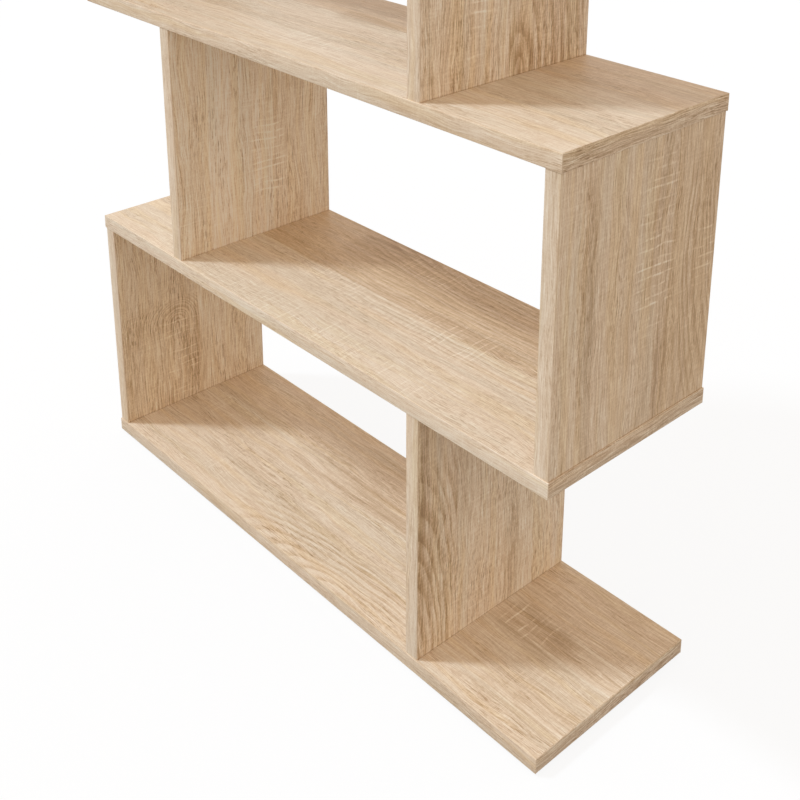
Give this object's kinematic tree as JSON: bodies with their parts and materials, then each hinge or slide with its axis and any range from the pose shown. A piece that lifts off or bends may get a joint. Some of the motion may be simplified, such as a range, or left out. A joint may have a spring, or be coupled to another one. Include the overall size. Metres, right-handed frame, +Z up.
{
  "type": "shelving unit",
  "caption": "Free-standing open shelving unit of full-width boards with staggered uprights, for books and display.",
  "frame": {"origin": "on the floor, at the middle of the footprint", "axes": "+Z up, +X along the shelves to the right, -Y the front"},
  "size_m": [0.8, 0.24, 1.293],
  "materials": {
    "oak_board": "light rough-sawn oak decor on chipboard, matt",
    "oak_band": "oak decor edge band, matt",
    "cam_zinc": "die-cast zinc",
    "cover_plastic": "plain plastic in the decor's colour",
    "bolt_steel": "zinc plated",
    "beech_dowel": "plain beech",
    "screw_steel": "zinc plated",
    "glide_plastic": "off-white plastic",
    "nail_steel": "bright steel",
    "bracket_steel": "zinc plated sheet",
    "bracket_screw_steel": "zinc plated"
  },
  "bodies": {
    "root": {"shelf_1": "oak_board", "shelf_2": "oak_board", "shelf_3": "oak_board", "shelf_4": "oak_board", "shelf_5": "oak_board", "upright_1_left": "oak_board", "upright_1_right": "oak_board", "upright_2_left": "oak_board", "upright_2_right": "oak_board", "upright_3_left": "oak_board", "upright_3_right": "oak_board", "upright_4_left": "oak_board", "upright_4_right": "oak_board", "shelf_1_bands": "oak_band", "shelf_2_bands": "oak_band", "shelf_3_bands": "oak_band", "shelf_4_bands": "oak_band", "shelf_5_bands": "oak_band", "upright_1_left_bands": "oak_band", "upright_1_right_bands": "oak_band", "upright_2_left_bands": "oak_band", "upright_2_right_bands": "oak_band", "upright_3_left_bands": "oak_band", "upright_3_right_bands": "oak_band", "upright_4_left_bands": "oak_band", "upright_4_right_bands": "oak_band", "cams_tier_1": "cam_zinc", "cams_tier_2": "cam_zinc", "cams_tier_3": "cam_zinc", "cams_tier_4": "cam_zinc", "cam_covers_tier_1": "cover_plastic", "cam_covers_tier_2": "cover_plastic", "cam_covers_tier_3": "cover_plastic", "cam_covers_tier_4": "cover_plastic", "cam_bolts_tier_1": "bolt_steel", "cam_bolts_tier_2": "bolt_steel", "cam_bolts_tier_3": "bolt_steel", "cam_bolts_tier_4": "bolt_steel", "dowels_tier_1": "beech_dowel", "dowels_tier_2": "beech_dowel", "dowels_tier_3": "beech_dowel", "dowels_tier_4": "beech_dowel", "screws_tier_1": "screw_steel", "screws_tier_2": "screw_steel", "screws_tier_3": "screw_steel", "screws_tier_4": "screw_steel", "glides": "glide_plastic", "glide_nails": "nail_steel", "wall_bracket": "bracket_steel", "bracket_screws": "bracket_screw_steel"}
  },
  "joints": []
}
